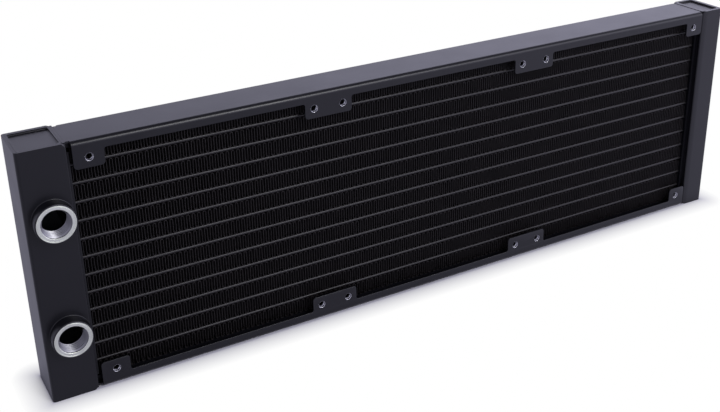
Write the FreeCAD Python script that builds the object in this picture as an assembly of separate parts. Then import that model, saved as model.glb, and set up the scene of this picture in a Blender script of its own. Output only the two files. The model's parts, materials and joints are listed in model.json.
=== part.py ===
"""Triple-fan liquid cooling radiator, in millimetres.

The long side lies along X, with the port tank at the -X end. Y runs through the thickness,
from the port side (Y = 0, the front fan face) to the back fan face. Z is up.
The origin is the centre of the middle fan's four screw holes on the front fan face.
"""

import FreeCAD, Part
import os

Vector = FreeCAD.Vector

# ---- fans that the radiator carries ----
fan_count = 3
fan_size = 120.0
hole_inset = 7.5              # fan edge to screw hole centre
hole_spacing = fan_size - 2 * hole_inset

# ---- whole body ----
body_depth = 24.5             # fan face to fan face
height_margin = 0.5           # tank past the fan edge, top and bottom
end_margin = 0.5              # tank mouth past the outermost fan edge, on average
pattern_shift = -0.9          # middle of the core past the middle of the fans, along X
rail_step = 0.2               # rails sit this much inside the tank ends
half_height = fan_size / 2 + height_margin
half_rail = half_height - rail_step
core_span = fan_count * fan_size + 2 * end_margin
port_mouth = pattern_shift - core_span / 2
return_mouth = pattern_shift + core_span / 2
middle_depth = body_depth / 2

# ---- tanks ----
port_tank_width = 21.0
return_tank_width = 14.5
tank_wall = 1.2
tank_bend = 1.5               # outer radius of the folded shell
leg_corner = 2.0              # rounded free corners of the shell's two legs
header_thickness = 1.2
header_pad = 1.4              # drawn face of the header, standing out towards the core
header_pad_rim = 1.2          # drawn face past the tubes' noses
header_pad_inset = 1.5        # drawn face short of the fin stack's ends
cap_thickness = 0.8
cap_recess = 0.9              # pan floor below the tank's rim
cap_corner = 1.0
divider_thickness = 1.2
braze_gap = 0.05

# ---- side rails, folded from sheet ----
rail_sheet = 1.0
rail_bend = 2.0               # outer bend radius
port_end_gap = 2.0            # flanges stop this far from the port tank
return_end_gap = 0.7          # and this far from the return tank
notch_margin = 0.3            # end notch past the bend
flange_height = 4.9           # between the screw tabs
tab_height = 12.6
tab_reach = 4.75              # tab past an inner screw hole
port_end_tab_reach = 6.5      # the end tabs' inner edges, past their holes
return_end_tab_reach = 5.0
tab_corner = 1.6
tab_root = 1.0                # inside radius where a tab leaves the flange

# ---- tapped screw holes in the tabs ----
screw_bore_radius = 1.4
screw_collar_radius = 2.3     # metal drawn inwards around the hole
screw_collar_length = 1.6
screw_mouth_radius = 0.5      # rounding of the drawn edge

# ---- core ----
core_depth = 15.0
core_plate_sheet = 0.8
core_plate_height = 2.75      # fills between the fin stack and the rail
tube_count = 12
tube_thickness = 1.6
tube_wall = 0.3
tube_reach = 2.5              # tube end inside the header's inner face
fin_foil = 0.12
fin_leg_pitch = 1.32
fin_end_clearance = 0.4

# ---- threaded ports ----
port_rise = 28.1              # port centres above and below the middle
port_inset = 9.35             # from the tank's mouth
collar_radius = 9.0
collar_height = 5.5           # proud of the front face
collar_chamfer = 0.3
spigot_radius = 7.9           # passes through the tank wall
spigot_lip = 1.5              # past the wall's inner face
port_bore_radius = 5.72       # minor radius of the pipe thread
port_mouth_radius = 6.58      # countersunk to the thread's major radius

# ---- worked out from the sizes above ----
stack_half = half_rail - rail_sheet - core_plate_height
fin_height = (2 * stack_half - tube_count * tube_thickness) / (tube_count + 1)
tube_pitch = fin_height + tube_thickness
core_front = middle_depth - core_depth / 2
rail_start = port_mouth + port_end_gap
rail_stop = return_mouth - return_end_gap
port_x = port_mouth - port_inset
inner_bend = tank_bend - tank_wall
past = 5.0                    # how far cutting bodies run past what they cut


def box(low, high):
    """Axis-aligned box between two opposite corners."""
    size = [b - a for a, b in zip(low, high)]
    return Part.makeBox(size[0], size[1], size[2], Vector(*low))


def cylinder_along_y(radius, x, y_from, y_to, z):
    return Part.makeCylinder(radius, y_to - y_from, Vector(x, y_from, z), Vector(0, 1, 0))


def edges_along(shape, axis, test):
    """Straight edges parallel to an axis whose middle point passes the test."""
    found = []
    for edge in shape.Edges:
        ends = [v.Point for v in edge.Vertexes]
        if len(ends) != 2:
            continue
        run = ends[1] - ends[0]
        across = [abs(run[i]) for i in range(3) if i != axis]
        if max(across) < 1e-6 and test((ends[0] + ends[1]) * 0.5):
            found.append(edge)
    return found


def near(a, b):
    return abs(a - b) < 1e-4


def mirrored_in_height(shape):
    return shape.mirror(Vector(0, 0, 0), Vector(0, 0, 1))


# ---- tanks ----

def tank_shell(mouth, width, direction, ports):
    """Folded channel: outer wall and two legs whose free edges end at the tank's mouth."""
    outer_x = mouth + direction * width
    wall_x = outer_x - direction * tank_wall
    low_x, high_x = sorted((mouth, outer_x))
    body = box((low_x, 0, -half_height), (high_x, body_depth, half_height))
    bends = edges_along(body, 2, lambda p: near(p.x, outer_x))
    body = body.makeFillet(tank_bend, bends)
    cut_low, cut_high = sorted((mouth - direction * past, wall_x))
    room = box((cut_low, tank_wall, -half_height - past),
               (cut_high, body_depth - tank_wall, half_height + past))
    inner_bends = edges_along(room, 2, lambda p: near(p.x, wall_x))
    room = room.makeFillet(inner_bend, inner_bends)
    shell = body.cut(room)
    corners = edges_along(shell, 1, lambda p: near(p.x, mouth))
    shell = shell.makeFillet(leg_corner, corners)
    for z in ports:
        hole = cylinder_along_y(spigot_radius + braze_gap, port_x, -past, tank_wall + past / 2, z)
        shell = shell.cut(hole)
    return shell


def tank_room(mouth, width, direction):
    """Span in X, low then high, between the outer wall and the header."""
    ends = (mouth + direction * header_thickness, mouth + direction * (width - tank_wall))
    return sorted(ends)


def tank_cap(mouth, width, direction):
    """Dished end cap: a pan with an upturned rim, set below the tank's rim."""
    room_low, room_high = tank_room(mouth, width, direction)
    low = (room_low + braze_gap, tank_wall + braze_gap, half_height - cap_recess - cap_thickness)
    high = (room_high - braze_gap, body_depth - tank_wall - braze_gap, half_height)
    block = box(low, high)
    block = block.makeFillet(cap_corner, edges_along(block, 2, lambda p: True))
    pan_low = (low[0] + cap_thickness, low[1] + cap_thickness, half_height - cap_recess)
    pan_high = (high[0] - cap_thickness, high[1] - cap_thickness, half_height + past)
    pan = box(pan_low, pan_high)
    pan = pan.makeFillet(cap_corner, edges_along(pan, 2, lambda p: True))
    return block.cut(pan)


def tank_header(mouth, direction):
    """Tube sheet with its drawn face towards the core and a slot for each tube."""
    inner = mouth + direction * header_thickness
    low_x, high_x = sorted((mouth, inner))
    plate = box((low_x, tank_wall + braze_gap, -half_height),
                (high_x, body_depth - tank_wall - braze_gap, half_height))
    pad_low, pad_high = sorted((mouth, mouth - direction * header_pad))
    pad_half = stack_half - header_pad_inset
    pad = box((pad_low, core_front - header_pad_rim, -pad_half),
              (pad_high, core_front + core_depth + header_pad_rim, pad_half))
    header = plate.fuse(pad).removeSplitter()
    slot_low = min(low_x, pad_low) - past
    slot_high = max(high_x, pad_high) + past
    for z in tube_heights():
        header = header.cut(obround(slot_low, slot_high, z, braze_gap))
    return header


def tank_divider():
    """Plate across the port tank that keeps the inlet and outlet chambers apart."""
    room_low, room_high = tank_room(port_mouth, port_tank_width, -1)
    low_x = room_low + braze_gap
    plate = box((low_x, tank_wall + braze_gap, -divider_thickness / 2),
                (room_high - braze_gap, body_depth - tank_wall - braze_gap, divider_thickness / 2))
    return plate.makeFillet(inner_bend, edges_along(plate, 2, lambda p: near(p.x, low_x)))


def port_collar(z):
    """Turned port: collar outside, spigot through the tank wall, bore for the pipe thread."""
    inner_end = tank_wall + spigot_lip
    mouth_depth = port_mouth_radius - port_bore_radius
    outline = [
        (port_mouth_radius, -collar_height),
        (collar_radius - collar_chamfer, -collar_height),
        (collar_radius, -collar_height + collar_chamfer),
        (collar_radius, 0.0),
        (spigot_radius, 0.0),
        (spigot_radius, inner_end),
        (port_bore_radius, inner_end),
        (port_bore_radius, -collar_height + mouth_depth),
    ]
    points = [Vector(port_x + r, y, z) for r, y in outline]
    face = Part.Face(Part.makePolygon(points + points[:1]))
    return face.revolve(Vector(port_x, 0, z), Vector(0, 1, 0), 360)


# ---- side rails ----

def fan_centres():
    return [(i - (fan_count - 1) / 2) * fan_size for i in range(fan_count)]


def screw_columns():
    """X of every column of screw holes, from the port end to the return end."""
    columns = []
    for centre in fan_centres():
        columns += [centre - hole_spacing / 2, centre + hole_spacing / 2]
    return columns


def tab_spans():
    """Start and end of each tab: one hole in the end tabs, two in the tabs between fans."""
    columns = screw_columns()
    spans = [(rail_start, columns[0] + port_end_tab_reach)]
    for left, right in zip(columns[1:-1:2], columns[2:-1:2]):
        spans.append((left - tab_reach, right + tab_reach))
    spans.append((columns[-1] - return_end_tab_reach, rail_stop))
    return spans


def window_between(tab_end, tab_start):
    """Cutting body that trims both flanges to their low height between two tabs."""
    body = box((tab_end, -past, half_rail - tab_height - past),
               (tab_start, body_depth + past, half_rail - flange_height))
    roots = edges_along(body, 1, lambda p: near(p.z, half_rail - flange_height))
    return body.makeFillet(tab_root, roots)


def side_rail():
    """Upper rail: web, two flanges with screw tabs, and tongues that meet the tanks."""
    foot = half_rail - tab_height
    body = box((port_mouth, 0, foot), (return_mouth, body_depth, half_rail))
    body = body.makeFillet(rail_bend, edges_along(body, 0, lambda p: near(p.z, half_rail)))
    room = box((port_mouth - past, rail_sheet, foot - past),
               (return_mouth + past, body_depth - rail_sheet, half_rail - rail_sheet))
    top = half_rail - rail_sheet
    room = room.makeFillet(rail_bend - rail_sheet, edges_along(room, 0, lambda p: near(p.z, top)))
    rail = body.cut(room)
    reach = rail_bend + notch_margin
    for low_x, high_x in ((port_mouth - past, rail_start), (rail_stop, return_mouth + past)):
        rail = rail.cut(box((low_x, -past, foot - past), (high_x, reach, half_rail + past)))
        rail = rail.cut(box((low_x, body_depth - reach, foot - past),
                            (high_x, body_depth + past, half_rail + past)))
    spans = tab_spans()
    for (_, tab_end), (tab_start, _) in zip(spans[:-1], spans[1:]):
        rail = rail.cut(window_between(tab_end, tab_start))
    rail = rail.makeFillet(tab_corner, edges_along(rail, 1, lambda p: near(p.z, foot)))
    return with_screw_holes(rail)


def with_screw_holes(rail):
    """Adds the drawn collars inside the tabs and bores them through."""
    z = hole_spacing / 2
    back_face = body_depth - rail_sheet
    for x in screw_columns():
        front = cylinder_along_y(screw_collar_radius, x, rail_sheet / 2,
                                 rail_sheet + screw_collar_length, z)
        back = cylinder_along_y(screw_collar_radius, x, back_face - screw_collar_length,
                                body_depth - rail_sheet / 2, z)
        rail = rail.fuse(front).fuse(back)
        rail = rail.cut(cylinder_along_y(screw_bore_radius, x, -past, body_depth + past, z))
    rail = rail.removeSplitter()
    mouths = [edge for edge in rail.Edges if is_screw_mouth(edge)]
    return rail.makeFillet(screw_mouth_radius, mouths)


def is_screw_mouth(edge):
    """Circle of the screw bore on one of the two fan faces."""
    if not isinstance(edge.Curve, Part.Circle) or not near(edge.Curve.Radius, screw_bore_radius):
        return False
    return near(edge.Curve.Center.y, 0) or near(edge.Curve.Center.y, body_depth)


# ---- core ----

def tube_heights():
    """Z of each tube's middle, from the bottom up."""
    lowest = -(tube_count - 1) / 2 * tube_pitch
    return [lowest + i * tube_pitch for i in range(tube_count)]


def fin_floors():
    """Z of each fin strip's lower side, from the bottom up."""
    return [-stack_half + i * tube_pitch for i in range(tube_count + 1)]


def obround_face(x, half_depth, half_thickness, y_mid, z):
    """Flat oval across X: two flats joined by half-round noses."""
    flat = half_depth - half_thickness
    front_low = Vector(x, y_mid - flat, z - half_thickness)
    front_high = Vector(x, y_mid - flat, z + half_thickness)
    back_low = Vector(x, y_mid + flat, z - half_thickness)
    back_high = Vector(x, y_mid + flat, z + half_thickness)
    front_nose = Part.Arc(front_low, Vector(x, y_mid - half_depth, z), front_high)
    back_nose = Part.Arc(back_high, Vector(x, y_mid + half_depth, z), back_low)
    edges = [front_nose.toShape(), Part.makeLine(front_high, back_high),
             back_nose.toShape(), Part.makeLine(back_low, front_low)]
    return Part.Face(Part.Wire(edges))


def obround(x_from, x_to, z, grown=0.0):
    """Solid bar with the tube's outer section, grown all round by a clearance."""
    section = obround_face(x_from, core_depth / 2 + grown, tube_thickness / 2 + grown,
                           middle_depth, z)
    return section.extrude(Vector(x_to - x_from, 0, 0))


def flat_tube(z):
    """Flat tube with two channels, reaching through both headers."""
    x_from = port_mouth - header_thickness - tube_reach
    x_to = return_mouth + header_thickness + tube_reach
    tube = obround(x_from, x_to, z)
    half_channel = (core_depth - 3 * tube_wall) / 4
    for side in (-1, 1):
        y_mid = middle_depth + side * (half_channel + tube_wall / 2)
        section = obround_face(x_from - past, half_channel, tube_thickness / 2 - tube_wall, y_mid, z)
        tube = tube.cut(section.extrude(Vector(x_to - x_from + 2 * past, 0, 0)))
    return tube


def foil_outline(first, gaps, floor):
    """Section of the foil: its upper side from the port end, then its lower side back."""
    ceiling = floor + fin_height
    half = fin_foil / 2
    last = first + gaps * fin_leg_pitch
    upper = []
    lower = []
    for i in range(gaps + 1):
        x = first + i * fin_leg_pitch
        if i % 2 == 0:
            upper += [(x - half, floor + fin_foil), (x - half, ceiling)]
            lower += [(x + half, floor), (x + half, ceiling - fin_foil)]
        else:
            upper += [(x + half, ceiling), (x + half, floor + fin_foil)]
            lower += [(x - half, ceiling - fin_foil), (x - half, floor)]
    upper[0] = (first - half, floor)
    if gaps % 2 == 0:
        lower[-1] = (last + half, ceiling)
    else:
        upper[-1] = (last + half, floor)
    return upper + lower[::-1]


def fin_strip(floor):
    """Corrugated foil between two tubes: upright legs joined by flat crests."""
    start = port_mouth + header_pad + fin_end_clearance
    stop = return_mouth - header_pad - fin_end_clearance
    gaps = int((stop - start - fin_foil) / fin_leg_pitch)
    first = (start + stop - gaps * fin_leg_pitch) / 2
    points = [Vector(x, core_front, z) for x, z in foil_outline(first, gaps, floor)]
    face = Part.Face(Part.makePolygon(points + points[:1]))
    return face.extrude(Vector(0, core_depth, 0))


def core_plate():
    """Shallow channel over the top fin strip, its edges turned up to the rail's web."""
    top = half_rail - rail_sheet
    body = box((port_mouth, core_front, stack_half), (return_mouth, core_front + core_depth, top))
    room = box((port_mouth - past, core_front + core_plate_sheet, stack_half + core_plate_sheet),
               (return_mouth + past, core_front + core_depth - core_plate_sheet, top + past))
    return body.cut(room)


def build():
    """Every piece of the radiator by name."""
    rail = side_rail()
    plate = core_plate()
    port_cap = tank_cap(port_mouth, port_tank_width, -1)
    return_cap = tank_cap(return_mouth, return_tank_width, 1)
    pieces = {
        "port_tank_shell": tank_shell(port_mouth, port_tank_width, -1, (port_rise, -port_rise)),
        "port_tank_header": tank_header(port_mouth, -1),
        "port_tank_top_cap": port_cap,
        "port_tank_bottom_cap": mirrored_in_height(port_cap),
        "port_tank_divider": tank_divider(),
        "inlet_port_collar": port_collar(port_rise),
        "outlet_port_collar": port_collar(-port_rise),
        "return_tank_shell": tank_shell(return_mouth, return_tank_width, 1, ()),
        "return_tank_header": tank_header(return_mouth, 1),
        "return_tank_top_cap": return_cap,
        "return_tank_bottom_cap": mirrored_in_height(return_cap),
        "top_side_rail": rail,
        "bottom_side_rail": mirrored_in_height(rail),
        "top_core_plate": plate,
        "bottom_core_plate": mirrored_in_height(plate),
    }
    for number, z in enumerate(tube_heights(), 1):
        pieces[f"flat_tube_{number:02d}"] = flat_tube(z)
    for number, z in enumerate(fin_floors(), 1):
        pieces[f"fin_strip_{number:02d}"] = fin_strip(z)
    return pieces


os.makedirs("parts", exist_ok=True)
for name, shape in build().items():
    shape.exportStep(f"parts/{name}.step")
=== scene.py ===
"""Looks of a slim liquid cooling radiator for three fans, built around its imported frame.

The long side lies along X, Y runs through the thickness from the port side to the back, and Z is up.
Every size is in metres, and MM turns a size that a maker would give in millimetres into metres.
"""

import json
import logging
import math
from collections.abc import Callable, Iterator, Sequence
from contextlib import contextmanager
from dataclasses import dataclass, field
from enum import Enum

import bmesh
import bpy
from mathutils import Matrix, Vector


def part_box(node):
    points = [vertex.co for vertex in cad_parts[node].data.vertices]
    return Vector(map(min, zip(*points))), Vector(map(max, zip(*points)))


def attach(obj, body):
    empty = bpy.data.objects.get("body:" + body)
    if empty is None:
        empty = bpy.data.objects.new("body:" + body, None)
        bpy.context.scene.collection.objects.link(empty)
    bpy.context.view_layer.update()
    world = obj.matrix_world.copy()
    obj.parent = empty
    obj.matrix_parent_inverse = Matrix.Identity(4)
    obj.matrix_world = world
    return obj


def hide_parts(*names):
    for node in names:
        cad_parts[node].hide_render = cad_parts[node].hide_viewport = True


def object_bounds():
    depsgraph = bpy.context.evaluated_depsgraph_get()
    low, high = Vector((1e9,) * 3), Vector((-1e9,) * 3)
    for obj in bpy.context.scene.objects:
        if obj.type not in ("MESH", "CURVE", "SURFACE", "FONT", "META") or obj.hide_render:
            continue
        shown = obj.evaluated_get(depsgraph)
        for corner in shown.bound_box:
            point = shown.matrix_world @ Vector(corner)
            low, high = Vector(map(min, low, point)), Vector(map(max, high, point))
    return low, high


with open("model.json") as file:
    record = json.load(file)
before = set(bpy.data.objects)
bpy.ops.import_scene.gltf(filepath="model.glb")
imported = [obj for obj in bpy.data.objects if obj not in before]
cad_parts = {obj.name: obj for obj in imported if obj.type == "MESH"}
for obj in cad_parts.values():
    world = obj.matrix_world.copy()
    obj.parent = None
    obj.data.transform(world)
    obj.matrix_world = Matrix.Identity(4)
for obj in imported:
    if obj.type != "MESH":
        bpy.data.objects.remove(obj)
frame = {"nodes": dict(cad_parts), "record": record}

LOG = logging.getLogger("radiator")
MM = 0.001
BODY = "root"
CAD_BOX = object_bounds()

# Numbers of the mix node's sockets, whose names repeat: inputs A and B, then outputs.
VALUE_A, VALUE_B = 2, 3
COLOUR_A, COLOUR_B = 6, 7
MIXED_VALUE, MIXED_COLOUR = 0, 2

Test = Callable[[Vector, Vector], bool]
Point = tuple[float, float]
Point3 = tuple[float, float, float]


# ---------------------------------------------------------------- modelling


class Pick(Enum):
    """What a selection in edit mode is made of."""

    CORNERS = "VERT"
    EDGES = "EDGE"
    FACES = "FACE"


class Gap(Enum):
    """Named lengths that decide whether two places count as the same."""

    SAME = 0.01 * MM
    MERGE = 0.0005 * MM


def near(a: float, b: float) -> bool:
    """True where two lengths are the same to a hundredth of a millimetre."""
    return abs(a - b) < Gap.SAME.value


def deselect_all() -> None:
    """Leaves nothing selected, so that an operator acts on the new piece alone."""
    bpy.ops.object.select_all(action="DESELECT")


def quarter_turn(steps: int, first: int = 0) -> Iterator[Point]:
    """Sine and versed sine (1 less the cosine) of evenly spaced angles up to a right angle."""
    for i in range(first, steps + 1):
        angle = math.pi / 2 * i / steps
        yield math.sin(angle), 1 - math.cos(angle)


class Piece:
    """One mesh that is being modelled: a primitive shaped in edit mode and finished with modifiers."""

    def __init__(self, body: bpy.types.Object, name: str) -> None:
        """Takes over a mesh object.

        Args:
            body: the mesh object.
            name: the name that the object and its mesh get.
        """
        self.body = body
        body.name = name
        body.data.name = name

    @classmethod
    def block(cls, name: str, low: Vector, high: Vector, turn: float = 0.0) -> "Piece":
        """Adds a cube primitive between two corners.

        Args:
            name: the piece's name.
            low: its lowest corner.
            high: its highest corner.
            turn: angle by which it is turned about its own upright axis.

        Returns:
            The new piece.
        """
        deselect_all()
        bpy.ops.mesh.primitive_cube_add(
            size=1, location=(low + high) / 2, rotation=(0, 0, turn), scale=high - low)
        bpy.ops.object.transform_apply(location=True, rotation=True, scale=True)
        return cls(bpy.context.object, name)

    @classmethod
    def line(cls, name: str, points: Sequence[Vector]) -> "Piece":
        """Makes a chain of edges: one corner of a plane, extruded from point to point.

        Args:
            name: the piece's name.
            points: the chain's points. A last point that repeats the first closes the chain.

        Returns:
            The new piece, with no faces.
        """
        deselect_all()
        bpy.ops.mesh.primitive_plane_add(size=1, location=points[0])
        bpy.ops.object.transform_apply(location=True, rotation=True, scale=True)
        piece = cls(bpy.context.object, name)
        with piece.editing(Pick.CORNERS):
            bpy.ops.mesh.select_all(action="SELECT")
            bpy.ops.mesh.merge(type="CENTER")
            for start, end in zip(points[:-1], points[1:]):
                bpy.ops.mesh.extrude_region_move(TRANSFORM_OT_translate={"value": end - start})
            bpy.ops.mesh.select_all(action="SELECT")
            bpy.ops.mesh.remove_doubles(threshold=Gap.MERGE.value)
        return piece

    @classmethod
    def turned(cls, name: str, outline: Sequence[Point], centre: Vector, steps: int) -> "Piece":
        """Turns an outline about an axis along Y.

        Args:
            name: the piece's name.
            outline: the closed outline's radius and Y at each point.
            centre: any point on the axis.
            steps: how many steps the full turn takes.

        Returns:
            The new piece, closed and with its faces outwards.
        """
        points = [Vector((centre.x + radius, y, centre.z)) for radius, y in outline]
        piece = cls.line(name, points + points[:1])
        with piece.editing(Pick.EDGES):
            bpy.ops.mesh.select_all(action="SELECT")
            bpy.ops.mesh.spin(steps=steps, angle=2 * math.pi, center=centre, axis=(0, 1, 0))
        piece.close_seams()
        return piece

    def activate(self) -> None:
        """Makes the piece the only one selected, and the active one."""
        deselect_all()
        bpy.context.view_layer.objects.active = self.body
        self.body.select_set(True)

    @contextmanager
    def editing(self, pick: Pick) -> Iterator[None]:
        """Edit mode with nothing selected.

        Args:
            pick: what the next selection is made of.

        Yields:
            Nothing: operators act on this piece until the block ends.
        """
        self.activate()
        bpy.ops.object.mode_set(mode="EDIT")
        bpy.ops.mesh.select_mode(type=pick.value)
        bpy.ops.mesh.select_all(action="DESELECT")
        yield
        bpy.ops.object.mode_set(mode="OBJECT")

    def choose(self, pick: Pick, test: Test) -> None:
        """Selects by place and direction. It works inside an editing block.

        Args:
            pick: corners, edges or faces.
            test: says yes or no for an element's middle and its normal, or an edge's direction.
        """
        bpy.ops.mesh.select_mode(type=pick.value)
        bpy.ops.mesh.select_all(action="DESELECT")
        mesh = bmesh.from_edit_mesh(self.body.data)
        mesh.normal_update()
        if pick is Pick.CORNERS:
            chosen = [v for v in mesh.verts if test(v.co, v.normal)]
        elif pick is Pick.EDGES:
            ends = [(e, e.verts[0].co, e.verts[1].co) for e in mesh.edges]
            chosen = [e for e, a, b in ends if test((a + b) / 2, (b - a).normalized())]
        else:
            chosen = [f for f in mesh.faces if test(f.calc_center_median(), f.normal)]
        for element in chosen:
            element.select_set(True)
        bmesh.update_edit_mesh(self.body.data)

    def drop_faces(self, test: Test) -> "Piece":
        """Deletes the faces that pass the test and returns the piece."""
        with self.editing(Pick.FACES):
            self.choose(Pick.FACES, test)
            bpy.ops.mesh.delete(type="FACE")
        return self

    def round_edges(self, test: Test, radius: float, segments: int) -> "Piece":
        """Rounds the edges that pass the test and returns the piece."""
        with self.editing(Pick.EDGES):
            self.choose(Pick.EDGES, test)
            bpy.ops.mesh.bevel(offset=radius, segments=segments, affect="EDGES", clamp_overlap=False)
        return self

    def round_corners(self, test: Test, radius: float, segments: int) -> "Piece":
        """Rounds the free corners of a sheet that pass the test and returns the piece."""
        with self.editing(Pick.CORNERS):
            self.choose(Pick.CORNERS, test)
            bpy.ops.mesh.bevel(offset=radius, segments=segments, affect="VERTICES",
                               clamp_overlap=False)
        return self

    def slice_at(self, axis: int, places: Sequence[float]) -> "Piece":
        """Cuts the faces along planes across an axis, keeping both sides, and returns the piece."""
        with self.editing(Pick.FACES):
            for place in places:
                bpy.ops.mesh.select_all(action="SELECT")
                where = Vector((0, 0, 0))
                where[axis] = place
                across = Vector((0, 0, 0))
                across[axis] = 1
                bpy.ops.mesh.bisect(plane_co=where, plane_no=across)
        return self

    def melt_flat(self) -> "Piece":
        """Joins neighbouring faces that lie in one plane and returns the piece."""
        with self.editing(Pick.FACES):
            bpy.ops.mesh.select_all(action="SELECT")
            bpy.ops.mesh.dissolve_limited(angle_limit=math.radians(0.5))
        return self

    def pull(self, move: Vector) -> "Piece":
        """Extrudes the whole chain or sheet by a move and returns the piece."""
        with self.editing(Pick.EDGES):
            bpy.ops.mesh.select_all(action="SELECT")
            bpy.ops.mesh.extrude_region_move(TRANSFORM_OT_translate={"value": move})
        return self

    def close_seams(self) -> "Piece":
        """Merges doubled corners, turns every face outwards and returns the piece."""
        with self.editing(Pick.FACES):
            bpy.ops.mesh.select_all(action="SELECT")
            bpy.ops.mesh.remove_doubles(threshold=Gap.MERGE.value)
            bpy.ops.mesh.normals_make_consistent(inside=False)
        return self

    def modify(self, kind: str, **settings: object) -> "Piece":
        """Adds one modifier, applies it and returns the piece.

        Args:
            kind: the modifier's type.
            **settings: the modifier's own settings.

        Returns:
            The piece.
        """
        self.activate()
        modifier = self.body.modifiers.new(kind.lower(), kind)
        for key, value in settings.items():
            setattr(modifier, key, value)
        bpy.ops.object.modifier_apply(modifier=modifier.name)
        return self

    def thicken(self, sheet: float) -> "Piece":
        """Gives a sheet its thickness, inwards from its outer side, and returns the piece."""
        return self.modify("SOLIDIFY", thickness=sheet, offset=-1, use_even_offset=True)

    def soften(self, radius: float, segments: int = 2) -> "Piece":
        """Rounds every sharp edge a little, as the coat does, and returns the piece."""
        return self.modify("BEVEL", width=radius, segments=segments, limit_method="ANGLE",
                           angle_limit=math.radians(40), use_clamp_overlap=True)

    def combine(self, tool: "Piece", operation: str) -> "Piece":
        """Fuses or cuts with another closed piece, which is used up, and returns the piece.

        Args:
            tool: the other piece.
            operation: UNION or DIFFERENCE.

        Returns:
            The piece.
        """
        self.modify("BOOLEAN", object=tool.body, operation=operation, solver="EXACT")
        bpy.data.objects.remove(tool.body)
        return self

    def copy(self, name: str, change: Matrix) -> "Piece":
        """Copies the piece with its own mesh.

        Args:
            name: the copy's name.
            change: the matrix that the copy's mesh goes through. A mirrored copy is turned
                right side out.

        Returns:
            The copy.
        """
        body = self.body.copy()
        body.data = self.body.data.copy()
        bpy.context.scene.collection.objects.link(body)
        body.data.transform(change)
        if change.determinant() < 0:
            body.data.flip_normals()
        return Piece(body, name)

    def join(self, others: Sequence["Piece"]) -> "Piece":
        """Takes the other pieces into this one and returns it."""
        self.activate()
        for other in others:
            other.body.select_set(True)
        if others:
            bpy.ops.object.join()
        return self

    def smooth(self, degrees: float = 35.0, weigh: bool = True) -> "Piece":
        """Shades curved stretches smooth and keeps the flats flat.

        Args:
            degrees: edges sharper than this stay sharp.
            weigh: whether large flats pull the normals towards their own.

        Returns:
            The piece.
        """
        self.activate()
        bpy.ops.object.shade_smooth_by_angle(angle=math.radians(degrees))
        if weigh:
            self.modify("WEIGHTED_NORMAL", keep_sharp=True, weight=80)
        return self

    def dress(self, *materials: bpy.types.Material) -> "Piece":
        """Gives the piece its materials, first one everywhere, and returns it."""
        self.body.data.materials.clear()
        for material in materials:
            self.body.data.materials.append(material)
        return self

    def paint(self, index: int, test: Test) -> "Piece":
        """Gives the faces that pass the test another of the piece's materials."""
        for face in self.body.data.polygons:
            if test(face.center, face.normal):
                face.material_index = index
        return self

    def fit(self, slot: str, *nodes: str) -> None:
        """Hands the finished piece to the frame.

        Args:
            slot: the record's material slot; not used.
            *nodes: the CAD nodes that it stands for.
        """
        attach(self.body, BODY)
        if nodes:
            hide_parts(*nodes)
        LOG.info("%s: %d faces", self.body.name, len(self.body.data.polygons))


# ---------------------------------------------------------------- finishes


def linear(colour: str) -> tuple[float, float, float, float]:
    """Turns an sRGB hex colour into the linear one that a shader takes.

    Args:
        colour: six hex digits.

    Returns:
        Linear red, green, blue and an alpha of 1.
    """
    shares = [int(colour[i:i + 2], 16) / 255 for i in (0, 2, 4)]
    low, high = zip(*[(s / 12.92, ((s + 0.055) / 1.055) ** 2.4) for s in shares])
    red, green, blue = [a if s <= 0.04045 else b for s, a, b in zip(shares, low, high)]
    return red, green, blue, 1.0


def add_node(
    tree: bpy.types.NodeTree,
    kind: str,
    settings: dict[str | int, object] | None = None,
    links: dict[str | int, bpy.types.NodeSocket] | None = None,
) -> bpy.types.Node:
    """Adds a shader node with its settings and its incoming links.

    Args:
        tree: the node tree.
        kind: the node's type name.
        settings: the node's own properties by name, or its inputs' values by name or number.
        links: output sockets, by the name or number of the input that they feed.

    Returns:
        The new node.
    """
    node = tree.nodes.new(kind)
    for name, value in (settings or {}).items():
        if isinstance(name, str) and hasattr(node, name):
            setattr(node, name, value)
        else:
            node.inputs[name].default_value = value
    for name, socket in (links or {}).items():
        tree.links.new(socket, node.inputs[name])
    return node


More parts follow.
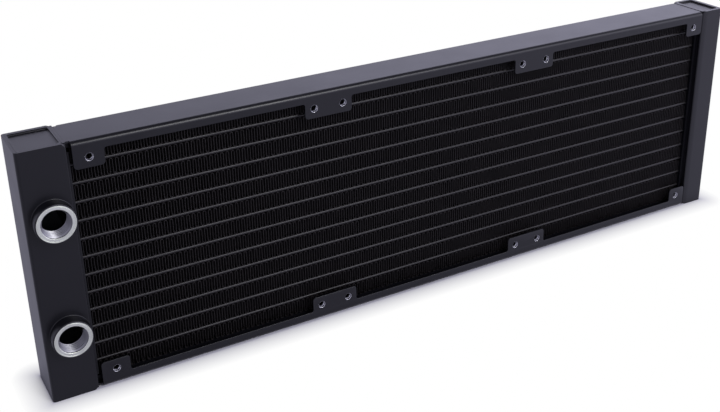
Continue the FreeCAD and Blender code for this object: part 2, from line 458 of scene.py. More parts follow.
@dataclass(frozen=True)
class Finish:
    """Surface of one real material: its colour, its gloss and the grain of its process."""

    name: str
    colour: str
    second_colour: str
    roughness: float
    metallic: float = 0.0
    ior: float = 1.5
    specular: float = 0.5
    patch: float = 20.0 * MM
    grain: float = 0.4 * MM
    grain_height: float = 0.004 * MM
    roughness_swing: float = 0.05

    def pattern(self, tree: bpy.types.NodeTree, size: float, detail: float) -> bpy.types.NodeSocket:
        """Soft noise in the object's own coordinates.

        Args:
            tree: the material's nodes.
            size: distance from one bump of the noise to the next.
            detail: how many finer layers it has.

        Returns:
            The noise's value.
        """
        where = add_node(tree, "ShaderNodeTexCoord")
        noise = add_node(tree, "ShaderNodeTexNoise", {"Scale": 1 / size, "Detail": detail},
                         {"Vector": where.outputs["Object"]})
        return noise.outputs["Fac"]

    def height(self, tree: bpy.types.NodeTree) -> bpy.types.NodeSocket:
        """The relief that the bump follows, from 0 to 1."""
        return self.pattern(tree, self.grain, 2.0)

    def build(self) -> bpy.types.Material:
        """Makes the material.

        Returns:
            The material, named after the finish.
        """
        material = bpy.data.materials.new(self.name)
        material.use_nodes = True
        tree = material.node_tree
        tree.nodes.clear()
        cloud = self.pattern(tree, self.patch, 3.0)
        colour = add_node(tree, "ShaderNodeMix", {
            "data_type": "RGBA", COLOUR_A: linear(self.colour), COLOUR_B: linear(self.second_colour)},
            {"Factor": cloud})
        rough = add_node(tree, "ShaderNodeMapRange", {
            "To Min": self.roughness - self.roughness_swing,
            "To Max": self.roughness + self.roughness_swing}, {"Value": cloud})
        bump = add_node(tree, "ShaderNodeBump", {"Strength": 1.0, "Distance": self.grain_height},
                        {"Height": self.height(tree)})
        shader = add_node(tree, "ShaderNodeBsdfPrincipled", {
            "Metallic": self.metallic,
            "IOR": self.ior,
            "Specular IOR Level": self.specular,
        }, {
            "Base Color": colour.outputs[MIXED_COLOUR],
            "Roughness": rough.outputs["Result"],
            "Normal": bump.outputs["Normal"],
        })
        add_node(tree, "ShaderNodeOutputMaterial", None, {"Surface": shader.outputs["BSDF"]})
        return material


@dataclass(frozen=True)
class TurnedFinish(Finish):
    """Bare metal off the lathe: fine rings about an axis along Y."""

    centre_x: float = 0.0
    centre_z: float = 0.0
    feed: float = 0.25 * MM

    def height(self, tree: bpy.types.NodeTree) -> bpy.types.NodeSocket:
        """Rings one tool feed apart, about the port's axis."""
        where = add_node(tree, "ShaderNodeTexCoord")
        centred = add_node(tree, "ShaderNodeMapping", {
            "vector_type": "POINT", "Location": (-self.centre_x, 0, -self.centre_z),
            "Scale": (1, 0, 1)}, {"Vector": where.outputs["Object"]})
        radius = add_node(tree, "ShaderNodeVectorMath", {"operation": "LENGTH"},
                          {0: centred.outputs["Vector"]})
        turns = add_node(tree, "ShaderNodeMath",
                         {"operation": "MULTIPLY", 1: 2 * math.pi / self.feed},
                         {0: radius.outputs["Value"]})
        wave = add_node(tree, "ShaderNodeMath", {"operation": "SINE"}, {0: turns.outputs["Value"]})
        return wave.outputs["Value"]


class Finishes:
    """The radiator's materials, each made once."""

    def __init__(self, ports: Sequence[Vector]) -> None:
        """Makes every material.

        Args:
            ports: the middles of the two threaded ports.
        """
        # Satin black powder coat baked on aluminium sheet: almost no colour of its own, a soft
        # sheen at a low angle, and the faint orange peel of the baked powder.
        self.coat = Finish("satin_powder_coat_on_aluminium", "0c0c10", "101015", 0.33,
                           grain=0.9 * MM, grain_height=0.006 * MM).build()
        # The same coat where it only mists over brazed tubes: thinner, drier and slightly brown.
        self.tube_coat = Finish("thin_coat_on_brazed_tube", "141212", "1b1819", 0.38,
                                specular=0.45, patch=6 * MM, grain=0.35 * MM,
                                grain_height=0.01 * MM).build()
        # Fin foil coat: a dull, slightly brown black with a broad sheen, painted lighter than the body
        # coat to lift the shade deep in the core (painted fill light).
        self.fin_coat_with_painted_fill = Finish("fin_foil_coat_painted_lighter", "1d1b1b", "2e2a29", 0.5, patch=9 * MM,
                               grain=0.3 * MM, grain_height=0.01 * MM).build()
        # Brazed aluminium that was never painted, inside the tanks: a plain grey, dull metal.
        self.bare = Finish("brazed_aluminium", "9a9a9e", "a8a8ad", 0.45, metallic=1.0).build()
        # Pipe thread cut after painting: aluminium flanks with a soft bright streak, their metal
        # painted darker than bare aluminium so that the bore's walls read dark (painted shade in the
        # bore).
        self.thread = Finish("cut_thread_darkened_for_bore_shade", "7d7d80", "909094", 0.36, metallic=1.0,
                             patch=2 * MM, grain=0.5 * MM, grain_height=0.004 * MM).build()
        # Tapped screw hole: the tap cut through the coat, and the bare metal throws small glints.
        self.tapped = Finish("tapped_hole_through_coat", "c8c8cc", "e4e4e8", 0.28, metallic=1.0,
                             patch=0.8 * MM, grain=0.5 * MM, grain_height=0.004 * MM).build()
        # Turned aluminium face of each port: pale and matt, with fine rings off the lathe.
        self.turned = [
            TurnedFinish(f"turned_aluminium_{i}", "f0f3e7", "f8fbee", 0.45, metallic=1.0,
                         patch=5 * MM, grain_height=0.006 * MM, centre_x=port.x,
                         centre_z=port.z).build()
            for i, port in enumerate(ports)]


# ---------------------------------------------------------------- what the frame says


def mounts_of(kind: str) -> list[dict]:
    """The record's mounts of one kind, in the record's order."""
    return [m for m in frame["record"]["mounts"] if m["kind"] == kind]


def screw_places() -> list[Vector]:
    """The middle of every screw hole on the front fan face, from the record's hole patterns."""
    places = []
    for mount in mounts_of("bolt_pattern"):
        if mount["axis"][1] > 0:
            continue
        middle = Vector(mount["pos_m"])
        half_x = mount["dims"]["spacing_x_mm"] * MM / 2
        half_z = mount["dims"]["spacing_y_mm"] * MM / 2
        places += [middle + Vector((x, 0, z)) for x in (-half_x, half_x) for z in (-half_z, half_z)]
    return places


def port_places() -> list[Vector]:
    """The middle of each threaded port, the upper one first."""
    return sorted((Vector(m["pos_m"]) for m in mounts_of("threaded_hole")), key=lambda p: -p.z)


# ---------------------------------------------------------------- threads


@dataclass
class Thread:
    """Internal screw thread: a helical ridge that stands inwards from its wall."""

    pitch: float
    wall_radius: float
    crest_radius: float
    crest_share: float = 0.14
    foot_share: float = 0.88
    bite: float = 0.03 * MM
    runout: float = 0.25
    end_share: float = 0.04
    start_turn: float = math.radians(-100)
    steps: int = 32

    def fade_ends(self, mesh: bpy.types.Mesh, turns: int, outer: float, rows: int) -> None:
        """Sinks both ends of the ridge into the wall, as where a tap enters and leaves.

        Args:
            mesh: the wound ridge, about an axis through the origin.
            turns: how many turns it has.
            outer: radius at which it is sunk.
            rows: corners of its section.
        """
        for vertex in mesh.vertices:
            turned = (vertex.index // rows) / self.steps
            run_in = min(turned, turns - turned) / self.runout
            share = max(self.end_share, min(1.0, run_in))
            radius = math.hypot(vertex.co.x, vertex.co.z)
            scale = (outer + (radius - outer) * share) / radius
            vertex.co.x *= scale
            vertex.co.z *= scale

    def ridge(self, name: str, centre: Vector, y_from: float, y_to: float) -> Piece:
        """Winds the ridge about an axis along Y.

        Args:
            name: the piece's name.
            centre: any point on the axis.
            y_from: where the ridge starts.
            y_to: where it ends.

        Returns:
            A closed piece.
        """
        half_foot = self.pitch * self.foot_share / 2
        half_crest = self.pitch * self.crest_share / 2
        outer = self.wall_radius + self.bite
        start = y_from + half_foot
        section = [(outer, start - half_foot), (self.crest_radius, start - half_crest),
                   (self.crest_radius, start + half_crest), (outer, start + half_foot)]
        points = [Vector((radius, y, 0)) for radius, y in section]
        piece = Piece.line(name, points + points[:1])
        turns = int((y_to - y_from - 2 * half_foot) / self.pitch)
        piece.modify("SCREW", axis="Y", angle=2 * math.pi, screw_offset=self.pitch,
                     iterations=turns, steps=self.steps, render_steps=self.steps)
        self.fade_ends(piece.body.data, turns, outer, len(section))
        with piece.editing(Pick.EDGES):
            bpy.ops.mesh.select_non_manifold(extend=False, use_boundary=True, use_wire=False,
                                             use_multi_face=False, use_non_contiguous=False,
                                             use_verts=False)
            bpy.ops.mesh.edge_face_add()
        piece.close_seams()
        piece.body.data.transform(Matrix.Translation((centre.x, 0, centre.z))
                                  @ Matrix.Rotation(self.start_turn, 4, "Y"))
        return piece


# ---------------------------------------------------------------- tanks


@dataclass
class Tank:
    """Folded shell of one end tank with its two dished end caps."""

    side: str
    ports: Sequence[Vector] = ()
    wall: float = 1.2 * MM
    bend: float = 1.5 * MM
    leg_corner: float = 2.0 * MM
    leg_edge: float = 0.8 * MM
    lip_run: float = 3.5 * MM
    lip_drop: float = 0.0
    port_hole: float = 7.95 * MM
    lip_steps: int = 5
    edge: float = 0.22 * MM
    cap_sheet: float = 0.8 * MM
    cap_recess: float = 0.9 * MM
    cap_corner: float = 1.0 * MM
    dish_corner: float = 0.9 * MM
    dish_radius: float = 0.4 * MM

    def shell(self) -> Piece:
        """Folds the shell from sheet, trims its free corners and pierces it for the ports."""
        node = f"{self.side}_tank_shell"
        low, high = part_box(node)
        mouth_x = high.x if self.side == "port" else low.x
        back_x = low.x if self.side == "port" else high.x
        piece = Piece.block(f"{node}_sheet", low, high)
        piece.drop_faces(lambda p, n: abs(n.z) > 0.5 or near(p.x, mouth_x))
        piece.round_corners(lambda p, n: near(p.x, mouth_x), self.leg_corner, 6)
        piece.round_edges(lambda p, n: abs(n.z) > 0.9 and near(p.x, back_x), self.bend, 6)
        piece.close_seams()
        piece.thicken(self.wall)
        piece.round_edges(lambda p, n: abs(p.x - mouth_x) < self.leg_corner and abs(n.x) < 0.99
                          and (near(p.y, low.y) or near(p.y, high.y)), self.leg_edge, 6)
        if self.lip_drop:
            self.taper_lips(piece, mouth_x, math.copysign(1.0, back_x - mouth_x))
        piece.soften(self.edge, 3)
        for port in self.ports:
            hole = [(0.0, low.y - self.wall), (self.port_hole, low.y - self.wall),
                    (self.port_hole, low.y + 2 * self.wall), (0.0, low.y + 2 * self.wall)]
            piece.combine(Piece.turned("hole_tool", hole, port, 64), "DIFFERENCE")
        return piece.smooth()

    def taper_lips(self, piece: Piece, mouth_x: float, inwards: float) -> None:
        """Eases the outer skin of both legs towards each other at the mouth, in a soft curve.

        Args:
            piece: the shell, with its free edges rounded.
            mouth_x: the tank's open side.
            inwards: 1 where the tank lies on the +X side of its mouth, and -1 where it doesn't.
        """
        low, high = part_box(f"{self.side}_tank_shell")
        step = inwards * self.lip_run / self.lip_steps
        piece.slice_at(0, [mouth_x + step * (i + 1) for i in range(self.lip_steps)])
        for vertex in piece.body.data.vertices:
            share = 1 - abs(vertex.co.x - mouth_x) / self.lip_run
            if share <= 0:
                continue
            if vertex.co.y < low.y + self.leg_edge + Gap.SAME.value:
                vertex.co.y += self.lip_drop * share ** 2
            elif vertex.co.y > high.y - self.leg_edge - Gap.SAME.value:
                vertex.co.y -= self.lip_drop * share ** 2

    def cap(self) -> Piece:
        """Presses the dished top cap: a rounded pan with an upturned rim."""
        node = f"{self.side}_tank_top_cap"
        low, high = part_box(node)
        floor_z = high.z - self.cap_recess
        piece = Piece.block(f"{node}_pan", low, high)
        with piece.editing(Pick.FACES):
            piece.choose(Pick.FACES, lambda p, n: n.z > 0.9)
            bpy.ops.mesh.inset(thickness=self.cap_sheet)
            bpy.ops.mesh.extrude_region_move(
                TRANSFORM_OT_translate={"value": Vector((0, 0, -self.cap_recess))})
        inner_z = (floor_z + high.z) / 2
        piece.round_edges(lambda p, n: abs(n.z) > 0.9 and near(p.z, inner_z), self.dish_corner, 5)
        piece.round_edges(lambda p, n: abs(n.z) > 0.9 and not near(p.z, inner_z)
                          and not low.x + Gap.SAME.value < p.x < high.x - Gap.SAME.value,
                          self.cap_corner, 5)
        piece.round_edges(lambda p, n: near(p.z, floor_z) and abs(n.z) < 0.1, self.dish_radius, 4)
        piece.soften(self.edge, 3)
        return piece.smooth()

    def build(self, finishes: Finishes) -> None:
        """Makes the shell and both caps and hands them to the frame."""
        shell = self.shell().dress(finishes.coat, finishes.bare)
        low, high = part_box(f"{self.side}_tank_shell")
        middle = (low + high) / 2
        shell.paint(1, lambda p, n: abs(n.z) < 0.5
                    and (middle.x - p.x) * n.x + (middle.y - p.y) * n.y > self.wall)
        shell.fit("black_powder_coat", f"{self.side}_tank_shell")
        top = self.cap().dress(finishes.coat)
        bottom = top.copy(f"{self.side}_tank_bottom_cap_pan", Matrix.Scale(-1, 4, (0, 0, 1)))
        top.fit("black_powder_coat", f"{self.side}_tank_top_cap")
        bottom.fit("black_powder_coat", f"{self.side}_tank_bottom_cap")


@dataclass
class PortCollar:
    """Turned port: painted outside, with a bare machined face and a cut pipe thread."""

    node: str
    turned_index: int
    face_radius: float = 8.4 * MM
    rim_radius: float = 0.3 * MM
    mouth_chamfer: float = 0.15 * MM
    spigot: float = 7.85 * MM
    fillet: float = 0.3 * MM
    lead_in: float = 0.05 * MM
    groove_radius: float = 7.95 * MM
    groove: float = 0.13 * MM
    painted_from: float = 8.5 * MM
    thread_end_gap: float = 0.1 * MM
    steps: int = 96
    thread: Thread = field(default_factory=lambda: Thread(
        pitch=1.337 * MM, wall_radius=6.58 * MM, crest_radius=5.72 * MM, steps=64))

    def outline(self, low: Vector, high: Vector) -> list[Point]:
        """Half section of the collar, with a braze fillet at its foot.

        Args:
            low: the CAD collar's lowest corner.
            high: its highest corner.

        Returns:
            Radius and Y of each point.
        """
        outer = (high.x - low.x) / 2
        bore = self.thread.wall_radius
        points = [(bore, high.y), (bore, low.y + self.mouth_chamfer),
                  (bore + self.mouth_chamfer, low.y),
                  (self.groove_radius - self.groove, low.y),
                  (self.groove_radius, low.y + self.groove),
                  (self.groove_radius + self.groove, low.y),
                  (self.face_radius, low.y)]
        points += [(self.face_radius + (outer - self.face_radius) * sine,
                    low.y + self.rim_radius * versed) for sine, versed in quarter_turn(3, 1)]
        points += [(outer + self.fillet * versed, -self.fillet * (1 - sine))
                   for sine, versed in quarter_turn(4)]
        return points + [(self.spigot, 0.0), (self.spigot, high.y)]

    def build(self, finishes: Finishes) -> None:
        """Turns the collar, cuts its thread and hands both to the frame."""
        low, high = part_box(self.node)
        centre = (low + high) / 2
        face_y = low.y + self.rim_radius / 2
        collar = Piece.turned(f"{self.node}_turned", self.outline(low, high), centre, self.steps)
        collar.smooth(30, weigh=False)
        collar.dress(finishes.coat, finishes.turned[self.turned_index], finishes.thread)

        def from_axis(p: Vector) -> float:
            """Distance from the port's axis."""
            return math.hypot(p.x - centre.x, p.z - centre.z)

        collar.paint(1, lambda p, n: p.y < face_y and from_axis(p) < self.painted_from)
        collar.paint(2, lambda p, n: from_axis(p) < self.thread.wall_radius + self.mouth_chamfer
                     and p.y > face_y)
        collar.fit("machined_aluminium", self.node)
        ridge = self.thread.ridge(f"{self.node}_thread", centre, low.y + self.lead_in,
                                  high.y - self.thread_end_gap)
        ridge.smooth(50, weigh=False).dress(finishes.thread).fit("machined_aluminium")


# ---------------------------------------------------------------- side rails


@dataclass
class SideRails:
    """The two folded rails with their screw tabs and tapped holes."""

    sheet: float = 1.0 * MM
    bend: float = 2.0 * MM
    port_end_gap: float = 2.0 * MM
    return_end_gap: float = 0.7 * MM
    notch: float = 2.3 * MM
    flange: float = 4.9 * MM
    tab_reach: float = 4.75 * MM
    port_end_tab_reach: float = 6.5 * MM
    return_end_tab_reach: float = 5.0 * MM
    tab_corner: float = 1.6 * MM
    tab_root: float = 1.0 * MM
    edge: float = 0.2 * MM
    boss_radius: float = 2.3 * MM
    boss_length: float = 1.6 * MM
    mouth_round: float = 0.25 * MM
    bare_mouth: float = 0.2 * MM
    smooth_entry: float = 0.6 * MM
    thread: Thread = field(default_factory=lambda: Thread(
        pitch=0.794 * MM, wall_radius=1.65 * MM, crest_radius=1.35 * MM, steps=24))

    def __post_init__(self) -> None:
        """Reads the rail's box and the screw columns from the frame."""
        self.low, self.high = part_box("top_side_rail")
        self.rail_from = self.low.x + self.port_end_gap
        self.rail_to = self.high.x - self.return_end_gap
        self.columns = sorted({round(p.x, 5) for p in screw_places()})
        self.screw_z = max(p.z for p in screw_places())
        self.flange_z = self.high.z - self.flange

    def tabs(self) -> list[tuple[float, float]]:
        """Start and end of each tab along the rail."""
        spans = [(self.rail_from, self.columns[0] + self.port_end_tab_reach)]
        for left, right in zip(self.columns[1:-1:2], self.columns[2:-1:2]):
            spans.append((left - self.tab_reach, right + self.tab_reach))
        spans.append((self.columns[-1] - self.return_end_tab_reach, self.rail_to))
        return spans

    def channel(self) -> Piece:
        """Cuts the blank's outline and folds it: web, flanges, tabs and end tongues."""
        low, high = self.low, self.high
        spans = self.tabs()
        cuts = [x for span in spans for x in span]
        piece = Piece.block("top_side_rail_sheet", low, high)
        piece.drop_faces(lambda p, n: n.z < -0.5 or abs(n.x) > 0.5)
        piece.round_edges(lambda p, n: abs(n.x) > 0.9 and near(p.z, high.z), self.bend, 8)
        piece.slice_at(0, cuts)
        piece.slice_at(2, [self.flange_z])
        piece.slice_at(1, [low.y + self.notch, high.y - self.notch])

        def waste(p: Vector, n: Vector) -> bool:
            """True for sheet past the tongues or below the flange between two tabs."""
            beside_tongue = not low.y + self.notch < p.y < high.y - self.notch
            past_end = not self.rail_from < p.x < self.rail_to
            in_tab = any(start < p.x < end for start, end in spans)
            return (past_end and beside_tongue) or (p.z < self.flange_z and not in_tab)

        piece.drop_faces(waste)
        piece.melt_flat()
        piece.round_corners(lambda p, n: near(p.z, low.z), self.tab_corner, 6)
        inner = [x for x in cuts if self.rail_from + Gap.SAME.value < x < self.rail_to - Gap.SAME.value]
        piece.round_corners(lambda p, n: near(p.z, self.flange_z) and any(near(p.x, x) for x in inner),
                            self.tab_root, 5)
        piece.close_seams()
        return piece.thicken(self.sheet)

    def screw_tool(self, x: float, outer: float, away: float, boss: bool) -> Piece:
        """Body of one drawn screw hole, to fuse or to cut.

        Args:
            x: the hole's place along the rail.
            outer: Y of the fan face that it opens on.
            away: 1 where the hole runs towards +Y, and -1 where it runs back.
            boss: True for the metal drawn inwards, False for the hole with its rounded mouth.

        Returns:
            The closed body.
        """
        centre = Vector((x, outer, self.screw_z))
        inner = outer + away * (self.sheet + self.boss_length)
        if boss:
            start = outer + away * self.sheet / 2
            shape = [(0.0, start), (self.boss_radius, start), (self.boss_radius, inner), (0.0, inner)]
            return Piece.turned("boss_tool", shape, centre, 40)
        wall = self.thread.wall_radius
        lip = self.mouth_round
        shape = [(0.0, outer - away * lip), (wall + lip, outer - away * lip)]
        shape += [(wall + lip * (1 - sine), outer + away * lip * versed)
                  for sine, versed in quarter_turn(5)]
        shape += [(wall, inner + away * lip), (0.0, inner + away * lip)]
        return Piece.turned("hole_tool", shape, centre, 40)

    def faces(self) -> list[tuple[float, float]]:
        """Y of each fan face, and which way its holes run."""
        return [(self.low.y, 1.0), (self.high.y, -1.0)]

    def drill(self, rail: Piece) -> Piece:
        """Draws and bores every screw hole of the rail."""
        for boss, operation in ((True, "UNION"), (False, "DIFFERENCE")):
            tools = [self.screw_tool(x, outer, away, boss)
                     for x in self.columns for outer, away in self.faces()]
            rail.combine(tools[0].join(tools[1:]), operation)
        return rail

    def threads(self) -> Piece:
        """Cuts a thread in every screw hole of the top rail."""
        depth = self.sheet + self.boss_length
        start = self.smooth_entry
        first = Vector((self.columns[0], 0, self.screw_z))
        front = self.thread.ridge("top_side_rail_threads", first, self.low.y + start,
                                  self.low.y + depth)
        shift = self.high.y - self.low.y - depth - start
        back = front.copy("back_thread", Matrix.Translation((0, shift, 0)))
        pair = front.join([back])
        moves = [x - self.columns[0] for x in self.columns[1:]]
        return pair.join([pair.copy("thread_pair", Matrix.Translation((m, 0, 0))) for m in moves])

    def build(self, finishes: Finishes) -> None:
        """Makes both rails and their threads and hands them to the frame."""
        top = self.channel().soften(self.edge, 3)
        top = self.drill(top).smooth(30).dress(finishes.coat, finishes.tapped)
        reach = self.thread.wall_radius + self.bare_mouth
        top.paint(1, lambda p, n: any(math.hypot(p.x - x, p.z - self.screw_z) < reach
                                      for x in self.columns))
        bottom = top.copy("bottom_side_rail_sheet", Matrix.Scale(-1, 4, (0, 0, 1)))
        top.fit("black_powder_coat", "top_side_rail")
        bottom.fit("black_powder_coat", "bottom_side_rail")
        cut = self.threads().smooth(50, weigh=False).dress(finishes.tapped)
        lower = cut.copy("bottom_side_rail_threads", Matrix.Translation((0, 0, -2 * self.screw_z)))
        cut.fit("machined_aluminium")
        lower.fit("machined_aluminium")


# ---------------------------------------------------------------- core


@dataclass
class FinStrips:
    """Corrugated fins: rounded crests against the tubes, legs with two banks of louvres."""

    leg_pitch: float = 1.32 * MM
    foil: float = 0.15 * MM
    crest_corner: float = 0.66 * MM
    crest_steps: int = 6
    plain_strip: float = 1.3 * MM
    bank_louvres: int = 3
    louvre_turn: float = math.radians(21)
    louvre_gap: float = 0.25 * MM

    def __post_init__(self) -> None:
        """Reads the strips' boxes from the frame."""
        self.nodes = sorted(n for n in frame["nodes"] if n.startswith("fin_strip"))
        self.low, self.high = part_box(self.nodes[0])
        self.legs = int((self.high.x - self.low.x) / self.leg_pitch) + 1
        run = (self.legs - 1) * self.leg_pitch
        self.first = (self.low.x + self.high.x - run) / 2

    def leg(self, x: float) -> list[Piece]:
        """One upright leg: three plain strips and the louvres between them."""
        low_z = self.low.z + self.crest_corner
        high_z = self.high.z - self.crest_corner
        depth = self.high.y - self.low.y
        bank = (depth - 3 * self.plain_strip) / 2
        step = bank / self.bank_louvres
        strips: list[tuple[float, float, float]] = []
        for i in range(3):
            start = self.low.y + i * (self.plain_strip + bank)
            strips.append((start, start + self.plain_strip, 0.0))
        for i, sign in ((0, 1), (1, -1)):
            start = self.low.y + self.plain_strip + i * (self.plain_strip + bank)
            for k in range(self.bank_louvres):
                begin = start + k * step + self.louvre_gap / 2
                strips.append((begin, begin + step - self.louvre_gap, sign * self.louvre_turn))
        half = self.foil / 2
        return [Piece.block("strip", Vector((x - half, a, low_z)), Vector((x + half, b, high_z)), turn)
                for a, b, turn in strips]

    def crest(self, x: float, upper: bool) -> Piece:
        """One rounded crest between the leg at x and the next one.

        Args:
            x: place of the first leg.
            upper: True for a crest against the tube above.

        Returns:
            The crest, as thick as the foil.
        """
        inset = self.foil / 2
        edge = self.high.z - inset if upper else self.low.z + inset
        down = -1 if upper else 1
        radius = self.leg_pitch / 2
        reach = self.crest_corner - inset
        turns = [math.pi * i / self.crest_steps for i in range(self.crest_steps + 1)]
        outline = [(radius * (1 - math.cos(t)), reach * (1 - math.sin(t))) for t in turns]
        points = [Vector((x + a, self.low.y, edge + down * b)) for a, b in outline]
        piece = Piece.line("crest", points).pull(Vector((0, self.high.y - self.low.y, 0)))
        return piece.modify("SOLIDIFY", thickness=self.foil, offset=0, use_even_offset=True)

    def strip(self) -> Piece:
        """Folds the lowest strip: one wave, repeated along the core, and a last leg."""
        x = self.first
        wave = self.crest(x, True)
        parts = [self.crest(x + self.leg_pitch, False)]
        parts += self.leg(x) + self.leg(x + self.leg_pitch)
        wave.join(parts)
        wave.modify("ARRAY", fit_type="FIXED_COUNT", count=(self.legs - 1) // 2,
                    use_relative_offset=False, use_constant_offset=True,
                    constant_offset_displace=(2 * self.leg_pitch, 0, 0))
        wave.join(self.leg(x + (self.legs - 1) * self.leg_pitch))
        return wave.smooth(50, weigh=False)

    def build(self, finishes: Finishes) -> None:
        """Makes every strip and hands it to the frame."""
        first = self.strip().dress(finishes.fin_coat_with_painted_fill)
        for node in self.nodes:
            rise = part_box(node)[0].z - self.low.z
            strip = first.copy(f"{node}_louvred", Matrix.Translation((0, 0, rise)))
            strip.fit("coated_fin", node)
        bpy.data.objects.remove(first.body)


@dataclass
class CadCore:
    """Core and header pieces whose CAD shape is right, in their proper finish."""

    def build(self, finishes: Finishes) -> None:
        """Dresses the CAD nodes that stay in view."""
        for name, node in frame["nodes"].items():
            if node.hide_render:
                continue
            if name.startswith("flat_tube"):
                material = finishes.tube_coat
            elif name == "port_tank_divider":
                material = finishes.bare
            else:
                material = finishes.coat
            node.data.materials.clear()
            node.data.materials.append(material)
            LOG.info("%s: %s", name, material.name)


# ---------------------------------------------------------------- studio


@dataclass(frozen=True)
class Softbox:
    """One rectangular soft light that points at the radiator."""

    name: str
    place: Point3
    size: Point
    power: float

    def build(self) -> None:
        """Hangs the light."""
        data = bpy.data.lights.new(self.name, "AREA")
        data.shape = "RECTANGLE"
        data.size, data.size_y = self.size
        data.energy = self.power
        lamp = bpy.data.objects.new(self.name, data)
        bpy.context.scene.collection.objects.link(lamp)
        lamp.location = self.place
        lamp.rotation_euler = (-Vector(self.place)).to_track_quat("-Z", "Y").to_euler()


@dataclass
class Studio:
    """White sweep, pale walls, two softboxes in front and the camera."""

    camera_place: Point3 = (-269.41 * MM, -410.47 * MM, 227.55 * MM)
    azimuth: float = math.radians(-29.73)
    elevation: float = math.radians(23.23)
    roll: float = math.radians(-0.84)
    lens: float = 52.93
    shift: Point = (-0.0224, -0.0786)
    floor_size: float = 8.0
    floor_colour: str = "e4e3ea"
    # Reach and curve over which the floor's glow fades in from the footprint: painted shade around the
    # base.
    painted_shadow_reach: float = 13.0 * MM
    painted_shadow_curve: float = 0.5
    mirrored_floor: float = 0.5
    walls: float = 1.15
    cool_white: tuple[float, float, float] = (0.93, 0.915, 1.17)
    ceiling: float = 0.17
    wall_top: float = 0.55
    wall_fade: float = 0.15
    dim_share: float = 0.58
    bright_share: float = 1.23
    bright_from: float = 0.7
    front_dim: float = 0.36
    front_bright: float = 0.75
    front_span: Point = (-160 * MM, 350 * MM)
    softboxes: tuple[Softbox, ...] = (
        Softbox("key_softbox", (0.40, -1.15, 0.85), (0.5, 0.5), 6.5),
        Softbox("side_softbox", (1.05, -1.0, 0.75), (0.8, 0.5), 0.8),
    )

    def camera(self) -> None:
        """Sets the camera down and makes it the scene's."""
        data = bpy.data.cameras.new("camera")
        data.lens = self.lens
        data.sensor_width = 36.0
        data.shift_x, data.shift_y = self.shift
        data.clip_start = 0.01
        data.clip_end = 50.0
        camera = bpy.data.objects.new("camera", data)
        bpy.context.scene.collection.objects.link(camera)
        turn = (Matrix.Rotation(self.azimuth, 4, "Z")
                @ Matrix.Rotation(math.pi / 2 - self.elevation, 4, "X")
                @ Matrix.Rotation(self.roll, 4, "Z"))
        camera.matrix_world = Matrix.Translation(self.camera_place) @ turn
        bpy.context.scene.camera = camera

    def background_share(self, tree: bpy.types.NodeTree) -> bpy.types.NodeSocket:
        """1 for rays that see the background: straight from the camera, off metal or through glass."""
        path = add_node(tree, "ShaderNodeLightPath")
        seen = add_node(tree, "ShaderNodeMath", {"operation": "MAXIMUM"},
                        {0: path.outputs["Is Camera Ray"], 1: path.outputs["Is Glossy Ray"]})
        shown = add_node(tree, "ShaderNodeMath", {"operation": "MAXIMUM"},
                         {0: seen.outputs["Value"], 1: path.outputs["Is Transmission Ray"]})
        return shown.outputs["Value"]

    def distance_from_base(self, tree: bpy.types.NodeTree) -> bpy.types.NodeSocket:
        """How far a place on the floor lies outside the radiator's footprint."""
        low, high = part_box("port_tank_shell")[0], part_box("return_tank_shell")[1]
        where = add_node(tree, "ShaderNodeTexCoord")
        middle = ((low.x + high.x) / 2, (low.y + high.y) / 2, 0)
        half_size = ((high.x - low.x) / 2, (high.y - low.y) / 2, 0)
        value = where.outputs["Object"]
        for settings in ({"operation": "SUBTRACT", 1: middle}, {"operation": "ABSOLUTE"},
                         {"operation": "SUBTRACT", 1: half_size}, {"operation": "MAXIMUM"}):
            value = add_node(tree, "ShaderNodeVectorMath", settings, {0: value}).outputs["Vector"]
        length = add_node(tree, "ShaderNodeVectorMath", {"operation": "LENGTH"}, {0: value})
        return length.outputs["Value"]

    def white_for(self, tree: bpy.types.NodeTree, mirrored: float) -> bpy.types.NodeSocket:
        """Pure white straight from the camera, and the studio's own cool white in reflections.

        Args:
            tree: the nodes that it goes into.
            mirrored: how bright the background is in reflections.

        Returns:
            The colour, with its strength in it.
        """
        path = add_node(tree, "ShaderNodeLightPath")
        reflected = (*[mirrored * share for share in self.cool_white], 1)
        colour = add_node(tree, "ShaderNodeMix", {
            "data_type": "RGBA", COLOUR_A: reflected, COLOUR_B: (1, 1, 1, 1)},
            {"Factor": path.outputs["Is Camera Ray"]})
        return colour.outputs[MIXED_COLOUR]

    def floor_share(self, tree: bpy.types.NodeTree) -> bpy.types.NodeSocket:
        """How bright the floor looks: white straight from the camera, and dimmer in reflections.

        In front of the radiator the reflected floor brightens towards the return tank.

        Args:
            tree: the floor's nodes.

        Returns:
            The glow's strength.
        """
        where = add_node(tree, "ShaderNodeTexCoord")
        parts = add_node(tree, "ShaderNodeSeparateXYZ", None, {"Vector": where.outputs["Object"]})
        along = add_node(tree, "ShaderNodeMapRange", {
            "From Min": self.front_span[0], "From Max": self.front_span[1],
            "To Min": self.front_dim, "To Max": self.front_bright}, {"Value": parts.outputs["X"]})
        front = add_node(tree, "ShaderNodeMath", {"operation": "LESS_THAN", 1: 0.0},
                         {0: parts.outputs["Y"]})
        mixed = add_node(tree, "ShaderNodeMix", {VALUE_A: self.mirrored_floor},
                         {"Factor": front.outputs["Value"], VALUE_B: along.outputs["Result"]})
        path = add_node(tree, "ShaderNodeLightPath")
        strength = add_node(tree, "ShaderNodeMath", {"operation": "MAXIMUM"},
                            {0: path.outputs["Is Camera Ray"], 1: mixed.outputs[MIXED_VALUE]})
        return strength.outputs["Value"]

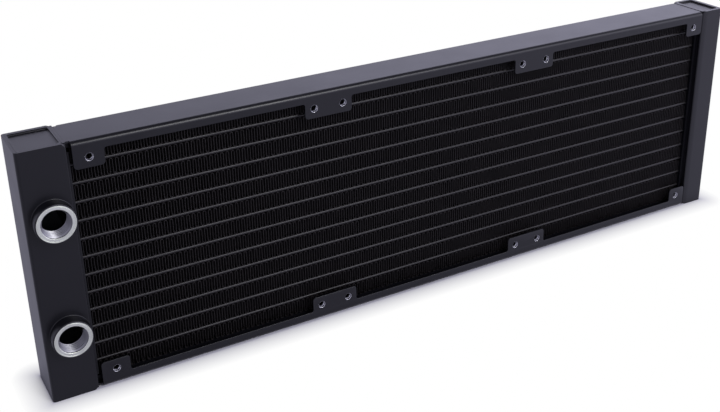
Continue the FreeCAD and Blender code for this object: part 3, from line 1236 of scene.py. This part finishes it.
    def floor(self) -> None:
        """Lays the pale floor: it glows white a little way out, and the glow fades in towards the
        radiator's footprint, so the floor near the base stays darker, a painted shade around the real
        shadow.
        """
        deselect_all()
        bpy.ops.mesh.primitive_plane_add(size=self.floor_size, location=(0, 0, CAD_BOX[0].z))
        floor = bpy.context.object
        floor.name = "floor"
        material = bpy.data.materials.new("white_paper_sweep")
        material.use_nodes = True
        tree = material.node_tree
        tree.nodes.clear()
        paper = add_node(tree, "ShaderNodeBsdfDiffuse", {"Color": linear(self.floor_colour)})
        # Painted shade: the glow is weakest at the footprint and full beyond the reach, so the floor
        # darkens towards the radiator's base.
        share = add_node(tree, "ShaderNodeMapRange", {"From Max": self.painted_shadow_reach},
                         {"Value": self.distance_from_base(tree)})
        rise = add_node(tree, "ShaderNodeMath", {"operation": "POWER", 1: self.painted_shadow_curve},
                        {0: share.outputs["Result"]})
        shown = add_node(tree, "ShaderNodeMath", {"operation": "MULTIPLY"},
                         {0: rise.outputs["Value"], 1: self.background_share(tree)})
        glow = add_node(tree, "ShaderNodeEmission", None,
                        {"Color": self.white_for(tree, 1.0), "Strength": self.floor_share(tree)})
        both = add_node(tree, "ShaderNodeMixShader", None, {
            "Fac": shown.outputs["Value"], 1: paper.outputs["BSDF"], 2: glow.outputs["Emission"]})
        add_node(tree, "ShaderNodeOutputMaterial", None, {"Surface": both.outputs["Shader"]})
        floor.data.materials.append(material)

    def world(self) -> None:
        """White walls up to a middle height, a dim ceiling, and plain white to the camera."""
        world = bpy.data.worlds.new("studio")
        bpy.context.scene.world = world
        world.use_nodes = True
        tree = world.node_tree
        tree.nodes.clear()
        where = add_node(tree, "ShaderNodeTexCoord")
        parts = add_node(tree, "ShaderNodeSeparateXYZ", None, {"Vector": where.outputs["Generated"]})
        fade = add_node(tree, "ShaderNodeMapRange", {
            "interpolation_type": "SMOOTHSTEP", "From Min": self.wall_top,
            "From Max": self.wall_top + self.wall_fade, "To Min": 1.0, "To Max": self.ceiling},
            {"Value": parts.outputs["Z"]})
        path = add_node(tree, "ShaderNodeLightPath")
        side = add_node(tree, "ShaderNodeMapRange", {
            "From Max": self.bright_from, "To Min": self.dim_share, "To Max": self.bright_share},
            {"Value": parts.outputs["X"]})
        lit = add_node(tree, "ShaderNodeMath", {"operation": "MULTIPLY"},
                       {0: fade.outputs["Result"], 1: side.outputs["Result"]})
        strength = add_node(tree, "ShaderNodeMath", {"operation": "MAXIMUM"},
                            {0: lit.outputs["Value"], 1: path.outputs["Is Camera Ray"]})
        sky = add_node(tree, "ShaderNodeBackground", None,
                       {"Color": self.white_for(tree, self.walls),
                        "Strength": strength.outputs["Value"]})
        add_node(tree, "ShaderNodeOutputWorld", None, {"Surface": sky.outputs["Background"]})

    def build(self) -> None:
        """Builds the whole studio."""
        bpy.context.scene.view_settings.view_transform = "Standard"
        self.camera()
        self.floor()
        self.world()
        for softbox in self.softboxes:
            softbox.build()


def main() -> None:
    """Builds the radiator's looks piece by piece, then the studio around it."""
    ports = port_places()
    finishes = Finishes(ports)
    parts = [
        Tank("port", ports),
        Tank("return", leg_edge=0.55 * MM, lip_drop=0.6 * MM),
        PortCollar("inlet_port_collar", 0),
        PortCollar("outlet_port_collar", 1),
        SideRails(),
        FinStrips(),
        CadCore(),
    ]
    for part in parts:
        LOG.info("building %s", type(part).__name__)
        part.build(finishes)
    Studio().build()


if __name__ == "__main__":
    logging.basicConfig(level=logging.INFO, format="%(name)s: %(message)s")
    main()
